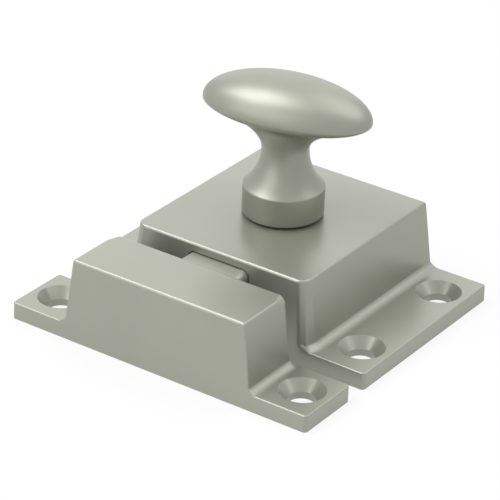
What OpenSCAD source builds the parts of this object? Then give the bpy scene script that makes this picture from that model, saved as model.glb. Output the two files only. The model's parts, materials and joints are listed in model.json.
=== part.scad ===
/* [Plan] */
// Width of the case and of the strike, ear tip to ear tip
lock_w = 57.2; // [54:0.2:64]
// Depth of the case, front face to back face
case_d = 35.7; // [34:0.1:42]
// Depth of the strike
strike_d = 11.8; // [10:0.1:16]
// Gap between the strike and the case
door_gap = 4.5; // [2.5:0.1:5]

/* [Casting section] */
// Height of the raised bodies over the mounting face
body_h = 14.6; // [13:0.1:18]
// Width of the raised bodies at their top
body_w = 33; // [31:0.5:36]
// Draft of the sides of the raised bodies, degrees
draft = 5; // [2:0.5:9]
// Thickness of the screw ears
ear_t = 2.9; // [2.4:0.1:4]
// Radius of the hollow fillet where a side meets its ear
ear_fillet = 2.2; // [1:0.1:3]
// Radius along the top edges
top_round = 0.5; // [0.3:0.1:1]
// Radius of the strike's lip, which the bolt rides over when the door is shut
lip_round = 1.3; // [0.8:0.1:1.4]
// Radius of the upright corners of the ears
corner_round = 0.6; // [0.3:0.1:1.5]

/* [Walls] */
// Thickness of the roof over the bolt, in the case and in the strike
roof_t = 1.5; // [1.2:0.1:2]
// Thickness of the front and back walls
wall_t = 2; // [1.8:0.1:2.5]
// Half width of the hollow in the case and in the strike
hollow_x = 14.2; // [13.6:0.1:14.8]
// Radius of the hollow's upright corners
hollow_round = 1; // [0.5:0.1:2]

/* [Screw holes] */
// Distance of each screw hole from the ear tip
hole_edge = 5; // [4.6:0.1:5.6]
// Distance between the two holes of one case ear
hole_pitch = 23.1; // [20:0.1:26]
// Diameter of the screw holes
hole_d = 4.5; // [3.5:0.1:5]
// Diameter of the countersinks at the top face
sink_d = 7.7; // [6.5:0.1:8.2]
// Depth of the countersinks
sink_depth = 1.7; // [1.2:0.1:2]

/* [Bolt] */
// Width of the bolt's tongue
tongue_w = 11.6; // [9:0.1:14]
// Height of the tongue
tongue_h = 8; // [6:0.1:9]
// Radius of the tongue's long edges
tongue_round = 1.2; // [0.5:0.1:2]
// How far the tongue reaches under the strike's roof
latch_reach = 4.2; // [3:0.1:4.4]
// Height of the tongue's blunt nose, over the slam bevel
nose_h = 2.6; // [2:0.1:4]
// Travel of the bolt in a quarter turn of the knob
travel = 5; // [4.5:0.1:5]
// Width of the bolt's frame inside the case
frame_w = 22; // [21.6:0.1:22.4]
// Thickness of the frame's side rails and of its rear bar
rail_t = 2; // [1.6:0.1:2.2]
// Radius of the inner corners of the frame
frame_round = 1; // [0.5:0.1:2]

/* [Clearances] */
// Clearance round the tongue in the mouth of the case
mouth_gap = 0.2; // [0.1:0.05:0.3]
// Clearance over and under the sliding bolt
slide_gap = 0.15; // [0.1:0.05:0.3]
// Clearance between the cam and the frame
cam_gap = 0.1; // [0.05:0.05:0.2]
// Radial clearance of the turning spindle
bearing_gap = 0.05; // [0.03:0.01:0.1]
// Radial clearance of the pieces that are fixed on each other
seat_gap = 0.02; // [0.01:0.01:0.05]

/* [Cam] */
// Distance from the spindle's axis to the cam's resting flat
cam_flat = 3; // [2.8:0.1:3.2]
// Thickness of the cam
cam_t = 4.8; // [3:0.1:6]

/* [Spindle] */
// Diameter of the spindle in the knob and in the case's roof
spindle_d = 5; // [4.6:0.1:5.4]
// Diameter of the spindle under the cam
stem_d = 3.4; // [3:0.1:3.6]
// Diameter of the pivot in the back plate
pivot_d = 2.4; // [2:0.1:2.8]
// Length of the spindle inside the knob
spindle_grip = 9; // [6:0.5:12]
// Thickness of the retaining clip under the cam
clip_t = 0.6; // [0.4:0.1:0.8]
// Outer diameter of the clip
clip_d = 5.6; // [5.2:0.1:5.8]
// Depth of the clip's groove in the stem
groove_depth = 0.5; // [0.3:0.1:0.6]

/* [Spring] */
// Wire diameter of the bolt spring
wire_d = 0.45; // [0.35:0.05:0.6]
// Mean diameter of the coil
coil_d = 4.6; // [4.2:0.1:6]
// Number of turns
coil_turns = 7; // [5:1:7]
// Diameter of the pegs that the coil sits on
peg_d = 3.2; // [2:0.1:3.4]
// Length of the peg on the bolt
peg_len = 4; // [2:0.1:4.2]
// Length of the peg in the case
stub_len = 1; // [0.6:0.1:1.2]
// Height of the spring's axis over the mounting face
spring_z = 7; // [5:0.1:9]

/* [Back plate] */
// Thickness of the back plate
plate_t = 1.2; // [1:0.1:1.6]
// Width of the ledge that the plate rests on
plate_ledge = 1; // [0.6:0.1:1.2]
// Clearance round the plate
plate_gap = 0.1; // [0.05:0.05:0.2]
// Distance of the plate's screws from the spindle's axis, front and back
post_pitch = 8; // [7:0.1:9]
// Length of the guide posts that take the screws
post_len = 8; // [6:0.5:9]
// Diameter of the plate screws
plate_screw_d = 1.6; // [1.4:0.1:2]
// Diameter of the plate screws' heads
plate_head_d = 3; // [2.6:0.1:3.2]
// Length of the plate screws
plate_screw_len = 6; // [4:0.5:8]

/* [Knob] */
// Length of the oval grip
grip_l = 29; // [24:0.5:34]
// Width of the oval grip
grip_w = 15; // [11:0.5:20]
// Height of the grip over its rim
grip_top = 5.7; // [4:0.1:7]
// Depth of the grip under its rim
grip_under = 2.6; // [2:0.1:4]
// Height of the grip's rim over the mounting face
grip_z = 33.1; // [31:0.1:36]
// Turn of the grip from the long side of the lock, degrees
grip_turn = 11; // [0:1:90]
// Diameter of the collar
collar_d = 13.5; // [11:0.1:15]
// Height of the collar's straight side
collar_h = 4.1; // [3:0.1:5]
// Radius over the collar's straight side
collar_round = 0.8; // [0.4:0.1:1.2]
// Chamfer under the collar
collar_edge = 0.3; // [0.1:0.1:0.6]
// Diameter of the neck at its waist
waist_d = 7.8; // [7.4:0.1:9]
// Radius of the long flare from the collar up to the waist
low_flare = 9.2; // [8:0.1:10]
// Radius of the slight flare from the waist up into the grip
high_flare = 20; // [12:0.5:40]
// Height over the waist at which the grip's oval flare starts inside the neck
flare_rise = 0.7; // [0:0.1:1.5]
// Depth inside the neck at which the oval flare starts
flare_in = 0.3; // [0.1:0.1:1]
// Thickness of the washer under the collar
washer_t = 0.4; // [0.3:0.1:0.8]
// Diameter of the washer
washer_d = 10.8; // [8:0.1:11]

/* [Hidden] */
$fn = 64;
// Amount by which a cut runs past the face it opens
eps = 0.02;
// Amount by which a large cut runs past the solid, and a screw hole past its screw's tip
cut_past = 1;
tip_room = 0.5;
// The whole lock is centred on the origin, with the strike towards -Y
total_d = strike_d + door_gap + case_d;
strike_front = -total_d / 2;
strike_back = strike_front + strike_d;
case_front = strike_back + door_gap;
case_back = case_front + case_d;
axis_y = (case_front + case_back) / 2;
roof_z = body_h - roof_t;
// Guide posts, between the bolt's frame and the sides of the hollow, and the screws in them
post_x = frame_w / 2 + slide_gap;
post_mid = (post_x + hollow_x) / 2;
hole_x = lock_w / 2 - hole_edge;
// Bolt, measured along Y
bolt_top = roof_z - slide_gap;
frame_z = plate_t + slide_gap;
tongue_z = bolt_top - tongue_h;
frame_front = case_front + wall_t;
window_back = axis_y + cam_flat + cam_gap;
window_front = axis_y - cam_flat - 2 * travel - cam_gap;
frame_back = window_back + rail_t;
tongue_tip = strike_back - latch_reach;
// Cam: a flat and two involutes of this base radius, so that the bolt moves evenly with the knob
cam_base = travel / (PI / 2);
cam_z = bolt_top - cam_t - slide_gap / 2;
clip_z = cam_z - clip_t;
square_w = spindle_d / sqrt(2) - seat_gap;
// Knob
collar_z = body_h + washer_t;
round_z = collar_z + collar_h;
round_r = collar_d / 2 - collar_round;
waist_r = waist_d / 2;
// The long flare is upright at the waist and runs smoothly into the rounding of the collar
flare_r = waist_r + low_flare;
waist_z = round_z + sqrt(pow(low_flare + collar_round, 2) - pow(flare_r - round_r, 2));

// Half width of a raised body at height z
function side_x(z) = body_w / 2 + (body_h - z) * tan(draft);

// Section of a casting: two ears, drafted sides, hollow fillets and rounded top edges
module hat_section() {
    round_x = side_x(body_h - top_round) - top_round / cos(draft);
    fillet_x = side_x(ear_t + ear_fillet) + ear_fillet / cos(draft);
    for (side = [0, 1]) mirror([side, 0]) {
        difference() {
            polygon([
                [0, 0],
                [lock_w / 2, 0],
                [lock_w / 2, ear_t],
                [fillet_x, ear_t],
                [fillet_x - ear_fillet * cos(draft), ear_t + ear_fillet * (1 - sin(draft))],
                [round_x + top_round * cos(draft), body_h - top_round * (1 - sin(draft))],
                [round_x, body_h],
                [0, body_h]]);
            translate([fillet_x, ear_t + ear_fillet]) circle(ear_fillet);
        }
        translate([round_x, body_h - top_round]) circle(top_round);
    }
}

// Solid that takes the square edge off a corner at the origin, along +Z, leaving a radius r
module corner_cut(r, len) {
    translate([0, 0, -len / 2]) linear_extrude(len) difference() {
        translate([-eps, -eps]) square(r + eps);
        translate([r, r]) circle(r);
    }
}

// Casting without its holes, from y0 to y1, with its front and back top edges rounded
module hat_casting(y0, y1, front_r, back_r) {
    difference() {
        translate([0, y1, 0]) rotate([90, 0, 0]) linear_extrude(y1 - y0) hat_section();
        translate([0, y0, body_h]) rotate([0, 90, 0]) corner_cut(front_r, lock_w);
        translate([0, y1, body_h]) mirror([0, 1, 0]) rotate([0, 90, 0]) corner_cut(back_r, lock_w);
        for (side = [0, 1]) mirror([side, 0, 0]) {
            translate([-lock_w / 2, y0, ear_t / 2]) corner_cut(corner_round, ear_t + 2 * eps);
            translate([-lock_w / 2, y1, ear_t / 2]) mirror([0, 1, 0]) corner_cut(corner_round, ear_t + 2 * eps);
        }
    }
}

// Hole and countersink of one mounting screw, centred on x, y. The cone runs past the face on its own slope
module screw_hole(x, y) {
    past = eps * (sink_d - hole_d) / sink_depth;
    translate([x, y, -eps]) cylinder(d = hole_d, h = ear_t + 2 * eps);
    translate([x, y, ear_t - sink_depth]) cylinder(d1 = hole_d, d2 = sink_d + past, h = sink_depth + eps);
}

// Rectangle from corner to corner with rounded corners
module soft_rect(x0, y0, x1, y1, r) {
    translate([x0 + r, y0]) square([x1 - x0 - 2 * r, y1 - y0]);
    translate([x0, y0 + r]) square([x1 - x0, y1 - y0 - 2 * r]);
    for (x = [x0 + r, x1 - r], y = [y0 + r, y1 - r]) translate([x, y]) circle(r);
}

// Section of the tongue, grown by g: flat below, two rounded edges above
module tongue_section(g) {
    r = tongue_round + g;
    half = tongue_w / 2 + g;
    top = bolt_top + g;
    translate([-half, tongue_z - g]) square([2 * half, tongue_h + 2 * g - r]);
    translate([-half + r, tongue_z - g]) square([2 * (half - r), tongue_h + 2 * g]);
    for (side = [-1, 1]) translate([side * (half - r), top - r]) circle(r);
}

// Guide posts stand in the case's hollow: the bolt slides between them, and they take the plate's screws
module guide_posts() {
    for (side = [0, 1], end = [-1, 1]) mirror([side, 0, 0])
        translate([post_x, axis_y + end * post_pitch - post_len / 2, plate_t])
            cube([hollow_x - post_x + eps, post_len, roof_z - plate_t + eps]);
}

module at_plate_screws() {
    for (side = [-1, 1], end = [-1, 1])
        translate([side * post_mid, axis_y + end * post_pitch, 0]) children();
}

module case() {
    color("#a4a595") difference() {
        union() {
            difference() {
                hat_casting(case_front, case_back, top_round, top_round);
                translate([0, 0, plate_t]) linear_extrude(roof_z - plate_t)
                    soft_rect(-hollow_x, case_front + wall_t, hollow_x, case_back - wall_t, hollow_round);
                translate([0, 0, -eps]) linear_extrude(plate_t + 2 * eps) plate_outline(plate_gap);
            }
            guide_posts();
            translate([0, case_back - wall_t - stub_len, spring_z]) rotate([-90, 0, 0])
                cylinder(d = peg_d, h = stub_len + eps);
        }
        translate([0, case_front + wall_t + eps, 0]) rotate([90, 0, 0])
            linear_extrude(wall_t + 2 * eps) tongue_section(mouth_gap);
        translate([0, axis_y, roof_z - eps]) cylinder(d = spindle_d + 2 * bearing_gap, h = roof_t + 2 * eps);
        at_plate_screws() translate([0, 0, plate_t - eps]) cylinder(d = plate_screw_d, h = plate_screw_len);
        for (x = [-hole_x, hole_x], end = [-1, 1]) screw_hole(x, axis_y + end * hole_pitch / 2);
    }
}

// Outline of the back plate, grown by g
module plate_outline(g) {
    half = hollow_x + plate_ledge - plate_gap + g;
    edge = wall_t - plate_ledge + plate_gap - g;
    soft_rect(-half, case_front + edge, half, case_back - edge, hollow_round + plate_ledge);
}

module back_plate() {
    color("#8f8c7c") difference() {
        linear_extrude(plate_t) plate_outline(0);
        translate([0, axis_y, -eps]) cylinder(d = pivot_d + 2 * bearing_gap, h = plate_t + 2 * eps);
        at_plate_screws() plate_screw_space(seat_gap);
    }
}

// Room that a plate screw takes in the plate, grown by g
module plate_screw_space(g) {
    sink = plate_head_d / 2 - plate_screw_d / 2;
    translate([0, 0, -eps]) cylinder(r = plate_screw_d / 2 + g, h = plate_t + 2 * eps);
    cylinder(r1 = plate_head_d / 2 + g, r2 = plate_screw_d / 2 + g, h = sink);
    translate([0, 0, -eps]) cylinder(r = plate_head_d / 2 + g, h = eps);
}

module back_plate_screws() {
    sink = plate_head_d / 2 - plate_screw_d / 2;
    slot_w = 0.4;
    slot_depth = 0.35;
    color("#77756a") at_plate_screws() difference() {
        union() {
            cylinder(d1 = plate_head_d, d2 = plate_screw_d, h = sink);
            cylinder(r = plate_screw_d / 2 - seat_gap, h = plate_t + plate_screw_len - tip_room);
        }
        translate([-plate_head_d, -slot_w / 2, -eps]) cube([2 * plate_head_d, slot_w, slot_depth + eps]);
    }
}

module knob() {
    color("#a9aa9a") difference() {
        union() {
            translate([0, axis_y, 0]) rotate_extrude($fn = 96) {
                collar_section();
                neck_section();
            }
            translate([0, axis_y, grip_z]) rotate([0, 0, grip_turn]) grip();
        }
        translate([0, axis_y, collar_z - eps])
            cylinder(d = spindle_d + 2 * seat_gap, h = spindle_grip + eps);
    }
}

// Half section from the collar's foot up to the waist
module collar_section() {
    collar_r = collar_d / 2;
    // Share of the line between the two arcs' centres at which they touch
    share = collar_round / (collar_round + low_flare);
    difference() {
        polygon([
            [0, collar_z],
            [collar_r - collar_edge, collar_z],
            [collar_r, collar_z + collar_edge],
            [collar_r, round_z],
            [round_r, round_z],
            [round_r + share * (flare_r - round_r), round_z + share * (waist_z - round_z)],
            [waist_r, waist_z],
            [0, waist_z]]);
        translate([flare_r, waist_z]) circle(low_flare, $fn = 192);
    }
    translate([round_r, round_z]) circle(collar_round);
}

// Half section from the waist up to the grip's rim, where the neck ends inside the grip
module neck_section() {
    top_r = waist_r + high_flare - sqrt(pow(high_flare, 2) - pow(grip_z - waist_z, 2));
    difference() {
        polygon([[0, waist_z], [waist_r, waist_z], [top_r, grip_z], [0, grip_z]]);
        translate([waist_r + high_flare, waist_z]) circle(high_flare, $fn = 360);
    }
}

// Oval grip: a high dome over a shallow one, which runs smoothly into an oval flare round the neck
// It is made in four quarter turns, because short pieces of surface keep their shape best when stretched
module grip() {
    for (quarter = [0:3]) {
        scale([grip_l / 2, grip_w / 2, grip_top]) quarter_turn(quarter) quarter_disc();
        scale([grip_l / 2, grip_w / 2, grip_under]) mirror([0, 0, 1]) quarter_turn(quarter) {
            quarter_disc();
            flare_section();
        }
    }
}

module quarter_turn(quarter) {
    rotate([0, 0, 90 * quarter]) rotate_extrude(angle = 90, $fn = 96) children();
}

module quarter_disc() {
    intersection() {
        circle(1, $fn = 96);
        square(1);
    }
}

// Half section of the flare in the shallow dome's own measure, where the dome has a radius of 1
module flare_section() {
    start = (waist_r - flare_in) / (grip_l / 2);
    drop = (grip_z - waist_z - flare_rise) / grip_under;
    // Radius of the arc that is upright at the start and touches the dome
    arc_r = (start * start + drop * drop - 1) / (2 * (1 - start));
    touch = 1 / (1 + arc_r);
    difference() {
        polygon([[0, 0], [touch * (start + arc_r), touch * drop], [start, drop], [0, drop]]);
        translate([start + arc_r, drop]) circle(arc_r, $fn = 360);
    }
}

module thrust_washer() {
    color("#6f6d62") translate([0, axis_y, body_h]) difference() {
        cylinder(d = washer_d, h = washer_t);
        translate([0, 0, -eps]) cylinder(d = spindle_d + 2 * bearing_gap, h = washer_t + 2 * eps);
    }
}

module spindle() {
    top = collar_z + spindle_grip - seat_gap;
    color("#8b8c88") translate([0, axis_y, 0]) {
        translate([0, 0, roof_z - slide_gap]) cylinder(d = spindle_d, h = top - roof_z + slide_gap);
        translate([-square_w / 2, -square_w / 2, cam_z]) cube([square_w, square_w, roof_z - cam_z]);
        translate([0, 0, clip_z - clip_t]) cylinder(d = stem_d, h = clip_t);
        translate([0, 0, clip_z - eps]) cylinder(d = stem_d - 2 * groove_depth, h = clip_t + 2 * eps);
        translate([0, 0, plate_t + slide_gap]) cylinder(d = stem_d, h = clip_z - plate_t - slide_gap);
        translate([0, 0, slide_gap]) cylinder(d = pivot_d, h = clip_z - slide_gap);
    }
}

// A point of the cam's edge: the flat lies towards +Y, and a is the angle from +Y, in degrees.
// The edge is the line that a flat bar keeps touching while it moves evenly with the cam's turn
function cam_point(a) = let (
    side = sign(a),
    reach = cam_flat + cam_base * abs(a) * PI / 180
) [-reach * sin(a) - side * cam_base * cos(a), reach * cos(a) - side * cam_base * sin(a)];

module cam() {
    steps = 18;
    back = cam_base + 0.3;
    blunt = 0.6;
    tip = cam_flat + travel - blunt;
    // The two flanks start this far from the middle, so that the flat between them isn't doubled
    start = 0.01;
    color("#7f8078") translate([0, axis_y, cam_z]) linear_extrude(cam_t) difference() {
        polygon([
            for (i = [0:steps]) cam_point(-90 + i * (90 - start) / steps),
            for (i = [0:steps]) cam_point(start + i * (90 - start) / steps),
            [-tip, -back],
            [tip, -back]]);
        square(square_w + 2 * seat_gap, center = true);
    }
}

// The clip is open at the front, with two bays that let it spring on to the stem
module cam_clip() {
    inner = stem_d / 2 - groove_depth + seat_gap;
    bay_r = 0.5;
    bay_x = inner + bay_r / 2;
    bay_y = 0.6;
    color("#55554f") translate([0, axis_y, clip_z]) linear_extrude(clip_t - seat_gap) difference() {
        circle(d = clip_d);
        circle(inner);
        translate([-inner, -clip_d]) square([2 * inner, clip_d]);
        for (side = [-1, 1]) translate([side * bay_x, bay_y]) circle(bay_r);
    }
}

module bolt() {
    color("#9b9c8c") {
        difference() {
            union() {
                translate([-frame_w / 2, frame_front, frame_z])
                    cube([frame_w, frame_back - frame_front, bolt_top - frame_z]);
                translate([0, frame_front + eps, 0]) rotate([90, 0, 0])
                    linear_extrude(frame_front - tongue_tip + eps) tongue_section(0);
            }
            translate([0, 0, frame_z - eps]) linear_extrude(bolt_top - frame_z + 2 * eps)
                soft_rect(-frame_w / 2 + rail_t, window_front, frame_w / 2 - rail_t, window_back, frame_round);
            slam_bevel();
        }
        translate([0, frame_back - eps, spring_z]) rotate([-90, 0, 0])
            cylinder(d = peg_d, h = peg_len + eps);
    }
}

// The nose's underside slopes, so that a closing door pushes the bolt back
module slam_bevel() {
    drop = tongue_h - nose_h;
    translate([-tongue_w, 0, 0]) rotate([90, 0, 90]) linear_extrude(2 * tongue_w) polygon([
        [tongue_tip - cut_past, bolt_top - nose_h + cut_past],
        [tongue_tip - cut_past, tongue_z - cut_past],
        [tongue_tip + drop + cut_past, tongue_z - cut_past]]);
}

// A closed skin over a list of rings, which all have the same number of points
module skin(rings) {
    last = len(rings) - 1;
    sides = len(rings[0]);
    polyhedron([for (ring = rings) each ring], concat(
        [[for (s = [0:sides - 1]) s]],
        [for (i = [0:last - 1], s = [0:sides - 1]) let (
            a = i * sides + s,
            b = i * sides + (s + 1) % sides
        ) [a, a + sides, b + sides, b]],
        [[for (s = [sides - 1:-1:0]) last * sides + s]]));
}

// A tube swept along a list of points, closed at both ends
module sweep(path, r, sides) {
    last = len(path) - 1;
    skin([for (i = [0:last]) let (
        t = path[min(i + 1, last)] - path[max(i - 1, 0)],
        d = t / norm(t),
        u = cross([0, 1, 0], d) / norm(cross([0, 1, 0], d)),
        v = cross(d, u)
    ) [for (s = [0:sides - 1]) path[i] + r * (cos(360 * s / sides) * u + sin(360 * s / sides) * v)]]);
}

module bolt_spring() {
    y0 = frame_back + wire_d / 2 + slide_gap;
    y1 = case_back - wall_t - wire_d / 2 - slide_gap;
    per_turn = 16;
    wire_sides = 8;
    steps = coil_turns * per_turn;
    // The first and the last turn are closed, so the coil's pitch lies between them
    function rise(u) = let (t = u * coil_turns) t < 1 ? wire_d * t
        : t > coil_turns - 1 ? (y1 - y0) - wire_d * (coil_turns - t)
        : wire_d + (y1 - y0 - 2 * wire_d) * (t - 1) / (coil_turns - 2);
    path = [for (i = [0:steps]) let (a = 360 * i / per_turn)
        [coil_d / 2 * cos(a), y0 + rise(i / steps), spring_z + coil_d / 2 * sin(a)]];
    color("#c0c0b8") sweep(path, wire_d / 2, wire_sides);
}

module strike() {
    color("#a4a595") difference() {
        hat_casting(strike_front, strike_back, top_round, lip_round);
        translate([0, 0, -eps]) linear_extrude(roof_z + eps)
            soft_rect(-hollow_x, strike_front + wall_t, hollow_x, strike_back + 2 * cut_past, hollow_round);
        for (x = [-hole_x, hole_x]) screw_hole(x, (strike_front + strike_back) / 2);
    }
}

case();
back_plate();
back_plate_screws();
knob();
thrust_washer();
spindle();
cam();
cam_clip();
bolt();
bolt_spring();
strike();
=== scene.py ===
import json
import math

import bmesh
import bpy
from mathutils import Matrix, Vector


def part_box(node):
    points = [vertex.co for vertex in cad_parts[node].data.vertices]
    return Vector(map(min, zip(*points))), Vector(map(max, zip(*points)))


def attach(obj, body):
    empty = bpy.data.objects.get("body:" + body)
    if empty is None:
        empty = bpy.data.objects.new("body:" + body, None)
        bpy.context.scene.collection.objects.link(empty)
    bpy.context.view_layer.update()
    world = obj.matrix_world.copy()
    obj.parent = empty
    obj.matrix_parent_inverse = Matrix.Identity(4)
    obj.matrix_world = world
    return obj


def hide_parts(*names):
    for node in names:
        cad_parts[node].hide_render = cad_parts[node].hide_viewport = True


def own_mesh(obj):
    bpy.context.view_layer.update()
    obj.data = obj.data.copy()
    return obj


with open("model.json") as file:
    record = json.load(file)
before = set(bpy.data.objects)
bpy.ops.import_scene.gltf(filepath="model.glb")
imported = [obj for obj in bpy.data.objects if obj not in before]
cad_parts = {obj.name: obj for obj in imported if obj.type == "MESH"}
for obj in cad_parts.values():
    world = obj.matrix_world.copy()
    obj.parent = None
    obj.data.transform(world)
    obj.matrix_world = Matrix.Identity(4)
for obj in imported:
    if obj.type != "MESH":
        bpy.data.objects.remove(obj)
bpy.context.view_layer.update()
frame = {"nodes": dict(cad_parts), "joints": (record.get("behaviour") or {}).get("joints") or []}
NODES = frame["nodes"]
JOINTS = {joint["name"]: joint for joint in frame["joints"]}

# Sizes are in millimetres and angles in degrees, unless a comment says otherwise
MM = 0.001
X, Y, Z = range(3)


def in_mm(length):
    """A length of the frame in millimetres, rounded so that its last digits are clean."""
    return round(length / MM, 2)


def extent(node, axis):
    """The lowest and the highest place of a CAD node along an axis."""
    return [in_mm(corner[axis]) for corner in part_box(node)]


def placed(name, data):
    """A new object in the scene."""
    obj = bpy.data.objects.new(name, data)
    bpy.context.scene.collection.objects.link(obj)
    return obj


# Camera, fitted to the photograph

CAMERA_AT = Vector((219.874, -325.432, 220.479))
CAMERA_LOOKS_AT = Vector((-0.349, -0.427, 10.958))
CAMERA_ROLL = 2.122
CAMERA_LENS = 198.614

camera_data = bpy.data.cameras.new("camera")
camera_data.lens = CAMERA_LENS
camera_data.sensor_width = 36
camera_data.clip_start = 0.01
camera_data.clip_end = 20
camera = placed("camera", camera_data)
look = (CAMERA_LOOKS_AT - CAMERA_AT).to_track_quat("-Z", "Y").to_matrix().to_4x4()
camera.matrix_world = (Matrix.Translation(CAMERA_AT * MM) @ look
                       @ Matrix.Rotation(math.radians(CAMERA_ROLL), 4, "Z"))
bpy.context.scene.camera = camera


# Materials

NOISE_LOW, NOISE_HIGH = 0.3, 0.7      # a noise texture mostly lies between these
CLOUD_SCALE, CLOUD_DETAIL = 90, 3     # the scales are per metre
GRAIN_SCALE, GRAIN_DETAIL = 2600, 2
GRAIN_DRAWN = 0.06                    # the grain's scale along the lines of turned or rolled metal
BUMP_STRENGTH, BUMP_DEPTH = 0.06, 0.02
MIX_FACTOR, MIX_A, MIX_B, MIX_RESULT = 0, 6, 7, 2   # the sockets of a Mix node for colours


def emptied(owner):
    """The node tree of a material or a world, with no nodes in it."""
    owner.use_nodes = True
    owner.node_tree.nodes.clear()
    return owner.node_tree


def noise(tree, scale, detail, vector):
    node = tree.nodes.new("ShaderNodeTexNoise")
    node.inputs["Scale"].default_value = scale
    node.inputs["Detail"].default_value = detail
    tree.links.new(vector, node.inputs["Vector"])
    return node.outputs["Fac"]


def spread(tree, value, low, high):
    """Maps a noise to the range from low to high."""
    node = tree.nodes.new("ShaderNodeMapRange")
    node.inputs["From Min"].default_value = NOISE_LOW
    node.inputs["From Max"].default_value = NOISE_HIGH
    node.inputs["To Min"].default_value = low
    node.inputs["To Max"].default_value = high
    tree.links.new(value, node.inputs["Value"])
    return node.outputs["Result"]


def metal(name, colour, roughness, grain=0.02, cloud=0.02, lines=None, metallic=1):
    """Satin metal: a slow cloudiness in its colour and gloss, and a fine grain in its surface.

    lines is an axis along which the grain is drawn out, as on turned or rolled metal.
    """
    material = bpy.data.materials.new(name)
    tree = emptied(material)
    out = tree.nodes.new("ShaderNodeOutputMaterial")
    shader = tree.nodes.new("ShaderNodeBsdfPrincipled")
    tree.links.new(shader.outputs["BSDF"], out.inputs["Surface"])
    shader.inputs["Metallic"].default_value = metallic

    place = tree.nodes.new("ShaderNodeTexCoord").outputs["Object"]
    grain_place = place
    if lines:
        mapping = tree.nodes.new("ShaderNodeMapping")
        scales = [GRAIN_DRAWN if axis == lines else 1 for axis in "xyz"]
        mapping.inputs["Scale"].default_value = scales
        tree.links.new(place, mapping.inputs["Vector"])
        grain_place = mapping.outputs["Vector"]
    slow = noise(tree, CLOUD_SCALE, CLOUD_DETAIL, place)
    fine = noise(tree, GRAIN_SCALE, GRAIN_DETAIL, grain_place)

    mix = tree.nodes.new("ShaderNodeMix")
    mix.data_type = "RGBA"
    mix.inputs[MIX_A].default_value = [c * (1 - cloud) for c in colour] + [1]
    mix.inputs[MIX_B].default_value = [c * (1 + cloud) for c in colour] + [1]
    tree.links.new(spread(tree, slow, 0, 1), mix.inputs[MIX_FACTOR])
    tree.links.new(mix.outputs[MIX_RESULT], shader.inputs["Base Color"])

    gloss = tree.nodes.new("ShaderNodeMath")
    gloss.operation = "ADD"
    tree.links.new(spread(tree, slow, -cloud / 2, cloud / 2), gloss.inputs[0])
    tree.links.new(spread(tree, fine, roughness - grain, roughness + grain), gloss.inputs[1])
    tree.links.new(gloss.outputs[0], shader.inputs["Roughness"])

    bump = tree.nodes.new("ShaderNodeBump")
    bump.inputs["Strength"].default_value = BUMP_STRENGTH
    bump.inputs["Distance"].default_value = BUMP_DEPTH * MM
    tree.links.new(fine, bump.inputs["Height"])
    tree.links.new(bump.outputs["Normal"], shader.inputs["Normal"])
    return material


SATIN = metal("satin_nickel_case", (0.345, 0.354, 0.298), 0.31, metallic=0.45)
SATIN_KNOB = metal("satin_nickel_knob", (0.315, 0.323, 0.272), 0.40, metallic=0.7)
SATIN_BOLT = metal("satin_nickel_bolt", (0.365, 0.374, 0.315), 0.34, metallic=0.4)
SHEET = metal("zinc_sheet", (0.46, 0.455, 0.42), 0.42, lines="x")
SCREW = metal("zinc_screw", (0.42, 0.42, 0.39), 0.35)
# The washer's near-black colour is painted shade: it darkens the recessed gap under the knob's
# collar.
WASHER_PAINTED_SHADE = metal("washer_steel", (0.02, 0.02, 0.018), 0.6, metallic=0.5)
TURNED = metal("turned_steel", (0.50, 0.50, 0.49), 0.32, lines="z")
CAST = metal("cast_zinc", (0.40, 0.40, 0.38), 0.55, grain=0.05)
BLUED = metal("blued_steel", (0.16, 0.16, 0.17), 0.35)
WIRE = metal("spring_wire", (0.62, 0.62, 0.59), 0.28)


# Pieces: what they are made with

MERGE = 1e-6   # the CAD meshes' points are joined within this many metres


def add_piece(name, mesh, body, material, replaced):
    """A piece that stands for a CAD node and rides on its body."""
    obj = placed(name, mesh)
    mesh.materials.clear()
    mesh.materials.append(material)
    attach(obj, body)
    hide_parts(replaced)
    return obj


def mesh_of(bm, name):
    mesh = bpy.data.meshes.new(name)
    bm.to_mesh(mesh)
    bm.free()
    return mesh


def copied(node):
    """A CAD node's mesh, with the points joined that lie at one place."""
    bm = bmesh.new()
    bm.from_mesh(NODES[node].data)
    bmesh.ops.remove_doubles(bm, verts=bm.verts, dist=MERGE)
    return bm


def applied(obj, name):
    """The object's mesh as its modifiers leave it. The object itself goes."""
    bpy.context.view_layer.update()
    final = obj.evaluated_get(bpy.context.evaluated_depsgraph_get())
    mesh = bpy.data.meshes.new_from_object(final)
    bpy.data.objects.remove(obj)
    mesh.name = name
    return mesh


def shaded(mesh, sharp_above):
    """Smooth shading, with the edges above an angle sharp.

    A CAD mesh's own normals don't fit new faces, and go.
    """
    if "custom_normal" in mesh.attributes:
        mesh.attributes.remove(mesh.attributes["custom_normal"])
    mesh.update()
    mesh.shade_smooth()
    mesh.set_sharp_from_angle(angle=math.radians(sharp_above))


# Case and strike: the CAD nodes' holes and hollows, inside an envelope with all its edges broken

TIP_X = extent("case", X)[1]
BODY_H = extent("case", Z)[1]
BODY_W = 33.0                        # over the top face's edges
DRAFT = math.radians(5)              # in radians from here on
EAR_T = 2.9
BELOW = -1                           # where the envelope starts, under the CAD nodes
TOP_ROUND = 0.5                      # radius along the long top edges
FOOT_TIGHT, FOOT_WIDE = 0.5, 2.2     # the wall turns into the ear by a tight arc, then a wide one
FOOT_MEET = 45                       # the angle at which the two arcs meet
EDGE = 0.25                          # radius round the front and the back end
EAR_EDGE = 0.25                      # radius along the tips of the ears
TIP_CORNER = 0.62                    # radius of the ears' corners, seen from above
CASE_MOUTH = 1.8                     # radius of the case's upright corners at the bolt
STRIKE_MOUTH, STRIKE_LIP = 1.5, 1.3  # radii of the strike's upright corners and top edge there
LIP_RUN = 2.0                        # the top edge's radius fades to TOP_ROUND over this length
SKIN = 0.02                          # gap to the CAD faces, so that no two faces coincide
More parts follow.
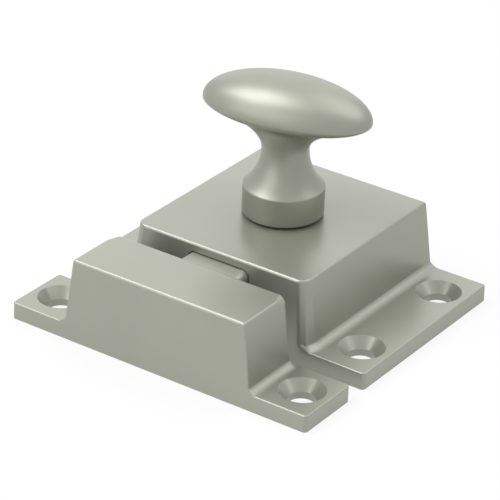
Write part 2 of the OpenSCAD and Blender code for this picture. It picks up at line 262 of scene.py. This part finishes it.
STRIP = 0.06                         # strips this wide keep the shading of the flats flat
WALL_STRIP = 0.02                    # the same along the walls, as a share of their height
SHARP = 0.01                         # radius of an edge that an end's rounding has used up
TIP_STEPS, FOOT_STEPS, TOP_STEPS = 6, 8, 10
EDGE_STEPS, RUN_STEPS = 7, 6
CASTING_SHARP = 32                   # edges of the castings above this angle are shaded sharp

# Draft beyond the CAD nodes'
CASE_LEAN, STRIKE_LEAN = 0.7, 0.4    # of the end walls, from the top to the underside
SIDE_LEAN = 0.4                      # of the side walls, from the top to the ears' top
END_ZONE = 0.9                       # the end walls and their edges lie this close to the ends
WALL_IN, WALL_OUT = 0.6, 1.9         # side walls and their feet lie this far in and out of wall_x
EAR_SLACK = 0.05                     # and reach this far under the top of the ears


def wall_x(z):
    """Where the CAD nodes' side wall stands at a height."""
    return BODY_W / 2 + (BODY_H - z) * math.tan(DRAFT)


def arc(cx, cz, r, start, end, steps):
    """Points of an arc. Angle 0 is outward along x, and 90 is up."""
    angles = [math.radians(start + (end - start) * i / steps) for i in range(steps + 1)]
    return [(cx + r * math.cos(a), cz + r * math.sin(a)) for a in angles]


def inset(distance, r):
    """How far a rounding of radius r stands back, at a distance from the end it starts at."""
    return 0 if distance >= r else r - math.sqrt(r * r - (r - distance) ** 2)


def half_section(d, tip_d, wall_d, drop, corner):
    """Right half of the section as x and z, from the foot of the ear to the middle of the top.

    It lies d inside the full section, tip_d at the ear's tip, wall_d at the wall and drop at
    the top. corner is the radius of the long top edge.
    """
    tilt = math.degrees(DRAFT)
    tip, ear, top = TIP_X - tip_d, EAR_T - d, BODY_H - drop
    r_tip, r_top = max(SHARP, EAR_EDGE - d), max(SHARP, corner - d)
    r_tight, r_wide = FOOT_TIGHT + d, FOOT_WIDE + d

    def side(z):
        return wall_x(z) - wall_d / math.cos(DRAFT)

    top_x = side(top - r_top) - r_top / math.cos(DRAFT)
    step = (r_wide - r_tight) * math.sin(math.radians(FOOT_MEET))
    wall_z = ear + r_wide - step - r_tight * math.sin(DRAFT)
    foot_x = side(wall_z) + r_tight * math.cos(DRAFT) + step

    points = [(tip, BELOW), (tip, ear - r_tip - STRIP)]
    points += arc(tip - r_tip, ear - r_tip, r_tip, 0, 90, TIP_STEPS)
    points += [(tip - r_tip - STRIP, ear), (foot_x + STRIP, ear)]
    points += arc(foot_x, ear + r_wide, r_wide, 270, 270 - FOOT_MEET, FOOT_STEPS)
    points += arc(foot_x - step, ear + r_wide - step, r_tight,
                  270 - FOOT_MEET, 180 + tilt, FOOT_STEPS)[1:]
    top_arc = arc(top_x, top - r_top, r_top, tilt, 90, TOP_STEPS)
    low, high = points[-1], top_arc[0]
    for share in (WALL_STRIP, 1 - WALL_STRIP):
        points.append((low[0] + share * (high[0] - low[0]), low[1] + share * (high[1] - low[1])))
    points += top_arc
    points += [(top_x - STRIP, top), (0, top)]
    return points


def section_ring(y, d, tip_d, wall_d, drop, corner):
    """The whole section at y, in metres. It has the CAD faces' gap on top of the other insets."""
    half = half_section(d + SKIN, tip_d + SKIN, wall_d + SKIN, drop + SKIN, corner)
    whole = half + [(-x, z) for x, z in reversed(half[:-1])]
    return [(x * MM, y * MM, z * MM) for x, z in whole]


def end_rings(y, inward, wall_edge, lip, run):
    """Rings from one end of a casting towards its middle.

    wall_edge is the radius of the end's upright edges and lip that of its top edge. Over run,
    the rounding of the long top edges goes over from the lip's radius to its own.
    """
    radii = {EDGE, TIP_CORNER, wall_edge, lip}
    distances = [max(radii) + STRIP]
    for r in radii:
        for k in range(EDGE_STEPS + 1):
            distances.append(r * (1 - math.cos(math.pi / 2 * k / EDGE_STEPS)))
    if run:
        distances += [lip + run * k / RUN_STEPS for k in range(1, RUN_STEPS + 1)]
    near = y + inward * SKIN
    rings = [section_ring(near, EDGE + STRIP, TIP_CORNER + STRIP, wall_edge + STRIP, lip + STRIP,
                          TOP_ROUND)]
    for distance in sorted({round(d, 3) for d in distances}):
        k = max(0, min(1, (lip + run - distance) / run)) if run else 0
        corner = TOP_ROUND + (lip - TOP_ROUND) * k * k * (3 - 2 * k)
        rings.append(section_ring(near + inward * distance, inset(distance, EDGE),
                                  inset(distance, TIP_CORNER), inset(distance, wall_edge),
                                  inset(distance, lip), corner))
    return rings


def leaned(mesh, front, back, front_lean, back_lean):
    """Adds the draft beyond the CAD node's: it moves the feet of the walls out."""
    for vertex in mesh.vertices:
        x, y, z = vertex.co / MM
        drop = (BODY_H - z) / BODY_H
        if y < front + END_ZONE:
            y -= front_lean * drop
        elif y > back - END_ZONE:
            y += back_lean * drop
        if z > EAR_T - EAR_SLACK and wall_x(z) - WALL_IN < abs(x) < wall_x(z) + WALL_OUT:
            x += math.copysign(SIDE_LEAN * (BODY_H - z) / (BODY_H - EAR_T), x)
        vertex.co = (x * MM, y * MM, z * MM)


def casting(name, node, front_end, back_end, leans):
    """A casting in place of a CAD node. Each end is the last three arguments of end_rings."""
    front, back = extent(node, Y)
    rings = end_rings(front, 1, *front_end) + end_rings(back, -1, *back_end)[::-1]
    bm = bmesh.new()
    rows = [[bm.verts.new(co) for co in ring] for ring in rings]
    for low, high in zip(rows, rows[1:]):
        for k in range(len(low)):
            n = (k + 1) % len(low)
            bm.faces.new((low[k], high[k], high[n], low[n]))
    bm.faces.new(rows[0])
    bm.faces.new(reversed(rows[-1]))
    bmesh.ops.recalc_face_normals(bm, faces=bm.faces)
    envelope = placed(name + "_envelope", mesh_of(bm, name + "_envelope"))
    work = placed(name + "_work", mesh_of(copied(node), name + "_work"))
    cut = work.modifiers.new("cut", "BOOLEAN")
    cut.operation = "INTERSECT"
    cut.solver = "EXACT"
    cut.object = envelope
    mesh = applied(work, name)
    bpy.data.objects.remove(envelope)
    leaned(mesh, front, back, *leans)
    shaded(mesh, CASTING_SHARP)
    add_piece(name, mesh, "lock_case", SATIN, node)


casting("case_casting", "case", front_end=(CASE_MOUTH, TOP_ROUND, 0),
        back_end=(EDGE, TOP_ROUND, 0), leans=(CASE_LEAN, CASE_LEAN))
casting("strike_casting", "strike", front_end=(EDGE, TOP_ROUND, 0),
        back_end=(STRIKE_MOUTH, STRIKE_LIP, LIP_RUN), leans=(STRIKE_LEAN, 0))


# Bolt: the CAD node with a rounding that Blender's overlap limit narrows to a few thousandths

BOLT_ROUND, BOLT_ROUND_STEPS = 0.1, 3   # before that limit
BOLT_EDGE_ANGLE = 40   # edges above this angle are rounded
BOLT_FLAT_ANGLE = 0.5  # faces are joined where they differ by less
BOLT_SHARP = 50        # edges above this angle are shaded sharp

bolt_bm = copied("bolt")
bmesh.ops.dissolve_limit(bolt_bm, angle_limit=math.radians(BOLT_FLAT_ANGLE),
                         verts=bolt_bm.verts, edges=bolt_bm.edges)
bolt_work = placed("bolt_casting_work", mesh_of(bolt_bm, "bolt_casting_work"))
bevel = bolt_work.modifiers.new("bevel", "BEVEL")
bevel.width = BOLT_ROUND * MM
bevel.segments = BOLT_ROUND_STEPS
bevel.limit_method = "ANGLE"
bevel.angle_limit = math.radians(BOLT_EDGE_ANGLE)
bolt_mesh = applied(bolt_work, "bolt_casting")
shaded(bolt_mesh, BOLT_SHARP)
add_piece("bolt_casting", bolt_mesh, "sliding_bolt", SATIN_BOLT, "bolt")


# Knob: one loft of oval rings, each given as half length, half width and height

COLLAR_Z, KNOB_TOP = extent("knob", Z)
KNOB_Y = in_mm(JOINTS["knob_turn"]["pos_m"][Y])
GRIP_L, GRIP_W = 14.5, 7.5             # half of the grip's length and width
GRIP_TOP, GRIP_UNDER = 5.7, 2.6        # height of the grip's upper and lower half
GRIP_Z = round(KNOB_TOP - GRIP_TOP, 2)
GRIP_TURN = 11
COLLAR_R, COLLAR_SIDE = 6.75, 4.65
COLLAR_ROUND, COLLAR_EDGE = 0.3, 0.2   # radii of the collar's top and bottom edge
WAIST_R, LOW_FLARE = 3.9, 8.7          # the neck's smallest radius, and the arc below it
BORE_R = 2.52
NECK_END = 0.8                         # the neck meets the underside at this share of the grip
NECK_RISE = 3.0                        # height of the neck curve's handle at the waist
NECK_PULL = 0.2                        # its handle at the grip, as a share of the grip's size
RING = 128
SIDE_STEPS, COLLAR_STEPS, CREASE_STEPS, FLARE_STEPS = 4, 4, 8, 24
NECK_STEPS, UNDER_STEPS, UPPER_STEPS = 30, 12, 36
KNOB_SHARP = 50                        # edges above this angle are shaded sharp


def collar_rings():
    """The collar, and the flare up to the waist. Returns the waist's height too."""
    edge_r, crease_r = COLLAR_R - COLLAR_EDGE, COLLAR_R - COLLAR_ROUND
    flare_r = WAIST_R + LOW_FLARE
    crease_z = COLLAR_Z + COLLAR_SIDE
    waist_z = crease_z + math.sqrt((LOW_FLARE + COLLAR_ROUND) ** 2 - (flare_r - crease_r) ** 2)
    meet = math.atan2(waist_z - crease_z, flare_r - crease_r)
    rounds = [(BORE_R, COLLAR_Z)]
    for i in range(COLLAR_STEPS + 1):
        a = math.pi / 2 * i / COLLAR_STEPS
        rounds.append((edge_r + COLLAR_EDGE * math.sin(a),
                       COLLAR_Z + COLLAR_EDGE - COLLAR_EDGE * math.cos(a)))
    for i in range(1, SIDE_STEPS + 1):
        rise = COLLAR_EDGE + (COLLAR_SIDE - COLLAR_EDGE) * i / SIDE_STEPS
        rounds.append((COLLAR_R, COLLAR_Z + rise))
    for i in range(1, CREASE_STEPS + 1):
        a = meet * i / CREASE_STEPS
        rounds.append((crease_r + COLLAR_ROUND * math.cos(a),
                       crease_z + COLLAR_ROUND * math.sin(a)))
    for i in range(1, FLARE_STEPS + 1):
        a = meet * (1 - i / FLARE_STEPS)
        rounds.append((flare_r - LOW_FLARE * math.cos(a), waist_z - LOW_FLARE * math.sin(a)))
    return [(r, r, z) for r, z in rounds], waist_z


def neck_rings(waist_z):
    """From the round waist the neck widens into the oval underside of the grip, on a Bezier."""
    fall = math.sqrt(1 - NECK_END * NECK_END)
    p0 = Vector((WAIST_R, WAIST_R, waist_z))
    p1 = p0 + Vector((0, 0, NECK_RISE))
    p3 = Vector((GRIP_L * NECK_END, GRIP_W * NECK_END, GRIP_Z - GRIP_UNDER * fall))
    p2 = p3 - NECK_PULL * Vector((GRIP_L, GRIP_W, GRIP_UNDER * NECK_END / fall))
    rings = []
    for i in range(1, NECK_STEPS + 1):
        s = i / NECK_STEPS
        rings.append((1 - s) ** 3 * p0 + 3 * s * (1 - s) ** 2 * p1
                     + 3 * s * s * (1 - s) * p2 + s ** 3 * p3)
    return rings


def grip_ring(a, rise):
    return GRIP_L * math.cos(a), GRIP_W * math.cos(a), GRIP_Z + rise * math.sin(a)


def knob_rings():
    rings, waist_z = collar_rings()
    rings += neck_rings(waist_z)
    for i in range(1, UNDER_STEPS + 1):
        rings.append(grip_ring(math.acos(NECK_END) * (1 - i / UNDER_STEPS), -GRIP_UNDER))
    for i in range(1, UPPER_STEPS):
        rings.append(grip_ring(math.pi / 2 * i / UPPER_STEPS, GRIP_TOP))
    return rings


def knob_loft():
    """The rings' mesh, open at the bore and closed with a fan at the top."""
    bm = bmesh.new()
    c, s = math.cos(math.radians(GRIP_TURN)), math.sin(math.radians(GRIP_TURN))
    rows = []
    for a, b, z in knob_rings():
        row = []
        for k in range(RING):
            u = 2 * math.pi * k / RING
            x, y = a * math.cos(u), b * math.sin(u)
            at = ((x * c - y * s) * MM, (x * s + y * c + KNOB_Y) * MM, z * MM)
            row.append(bm.verts.new(at))
        rows.append(row)
    for low, high in zip(rows, rows[1:]):
        for k in range(RING):
            n = (k + 1) % RING
            bm.faces.new((low[k], low[n], high[n], high[k]))
    top = bm.verts.new((0, KNOB_Y * MM, (GRIP_Z + GRIP_TOP) * MM))
    for k in range(RING):
        bm.faces.new((rows[-1][k], rows[-1][(k + 1) % RING], top))
    return mesh_of(bm, "knob_casting")


knob_mesh = knob_loft()
shaded(knob_mesh, KNOB_SHARP)
add_piece("knob_casting", knob_mesh, "turning_knob", SATIN_KNOB, "knob")


# Spring: the CAD node's coil

SPRING_SHARP = 60

spring_mesh = mesh_of(copied("bolt_spring"), "pressed_spring")
shaded(spring_mesh, SPRING_SHARP)
spring = add_piece("pressed_spring", spring_mesh, "lock_case", WIRE, "bolt_spring")
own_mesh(spring)


# CAD nodes that keep their own shape

NODE_SHARP = 30


def dress(node, material):
    mesh = NODES[node].data
    mesh.materials.clear()
    mesh.materials.append(material)
    mesh.shade_smooth()
    mesh.set_sharp_from_angle(angle=math.radians(NODE_SHARP))


dress("back_plate", SHEET)
dress("back_plate_screws", SCREW)
# The thrust washer gets the near-black material that paints the shade in the gap under the collar.
dress("thrust_washer", WASHER_PAINTED_SHADE)
dress("spindle", TURNED)
dress("cam", CAST)
dress("cam_clip", BLUED)


# Studio: a white floor, a white world and four softboxes

PAPER = 0.9             # what the floor reflects
FLOOR_WHITE = 0.85      # share of plain white in the floor that is seen
FLOOR_HALF = 3.0        # metres
FLOOR_GAP = 0.02        # the floor lies this far under the part
WORLD_DIM = 0.45        # strength of the world's light on the part
WHITE = (1, 1, 1, 1)
LAMP_DISTANCE = 1.0     # metres


def shader_of(tree, kind, **settings):
    """The output of a new shader node, with its sockets set."""
    node = tree.nodes.new(kind)
    for socket, value in settings.items():
        node.inputs[socket].default_value = value
    return node.outputs[0]


def math_node(tree, operation, first, second):
    """The result of a Math node. Its second input is a socket or a number."""
    node = tree.nodes.new("ShaderNodeMath")
    node.operation = operation
    tree.links.new(first, node.inputs[0])
    if isinstance(second, float):
        node.inputs[1].default_value = second
    else:
        tree.links.new(second, node.inputs[1])
    return node.outputs[0]


def shown_factor(tree):
    """1 for what the camera, a reflection or glass sees, and 0 for what lights the scene."""
    rays = tree.nodes.new("ShaderNodeLightPath").outputs
    seen = math_node(tree, "MAXIMUM", rays["Is Camera Ray"], rays["Is Glossy Ray"])
    return math_node(tree, "MAXIMUM", seen, rays["Is Transmission Ray"])


def end_by_ray(tree, output, factor, lighting, shown):
    """Ends a tree in one shader for what lights the scene, and one for what is shown."""
    mix = tree.nodes.new("ShaderNodeMixShader")
    tree.links.new(factor, mix.inputs["Fac"])
    tree.links.new(lighting, mix.inputs[1])
    tree.links.new(shown, mix.inputs[2])
    tree.links.new(mix.outputs[0], tree.nodes.new(output).inputs["Surface"])


def floor():
    corners = [(-FLOOR_HALF, -FLOOR_HALF, 0), (FLOOR_HALF, -FLOOR_HALF, 0),
               (FLOOR_HALF, FLOOR_HALF, 0), (-FLOOR_HALF, FLOOR_HALF, 0)]
    mesh = bpy.data.meshes.new("floor")
    mesh.from_pydata(corners, [], [(0, 1, 2, 3)])
    material = bpy.data.materials.new("floor")
    tree = emptied(material)
    paper = shader_of(tree, "ShaderNodeBsdfDiffuse", Color=(PAPER, PAPER, PAPER, 1))
    white = shader_of(tree, "ShaderNodeEmission", Strength=1)
    factor = math_node(tree, "MULTIPLY", shown_factor(tree), FLOOR_WHITE)
    end_by_ray(tree, "ShaderNodeOutputMaterial", factor, paper, white)
    mesh.materials.append(material)
    obj = placed("floor", mesh)
    obj.location.z = -FLOOR_GAP * MM


def studio_world():
    world = bpy.data.worlds.new("studio")
    bpy.context.scene.world = world
    tree = emptied(world)
    dim = shader_of(tree, "ShaderNodeBackground", Color=WHITE, Strength=WORLD_DIM)
    bright = shader_of(tree, "ShaderNodeBackground", Color=WHITE, Strength=1)
    end_by_ray(tree, "ShaderNodeOutputWorld", shown_factor(tree), dim, bright)


def lamp(name, azimuth, elevation, size, power):
    """A square softbox aimed at the part, with its size in metres and its power in watts.

    Azimuth 0 is in front, at -Y, and 90 is to the right, at +X.
    """
    data = bpy.data.lights.new(name, "AREA")
    data.shape = "SQUARE"
    data.size = size
    data.energy = power
    a, e = math.radians(azimuth), math.radians(elevation)
    away = Vector((math.sin(a) * math.cos(e), -math.cos(a) * math.cos(e), math.sin(e)))
    obj = placed(name, data)
    obj.location = away * LAMP_DISTANCE
    obj.rotation_euler = (-away).to_track_quat("-Z", "Y").to_euler()


floor()
studio_world()
lamp("key", azimuth=-56, elevation=58, size=0.6, power=5.0)
lamp("fill", azimuth=-20, elevation=20, size=0.8, power=2.0)
lamp("side", azimuth=138, elevation=60, size=0.9, power=3.2)
lamp("back", azimuth=214, elevation=32, size=1.0, power=1.5)

bpy.context.scene.view_settings.view_transform = "Standard"
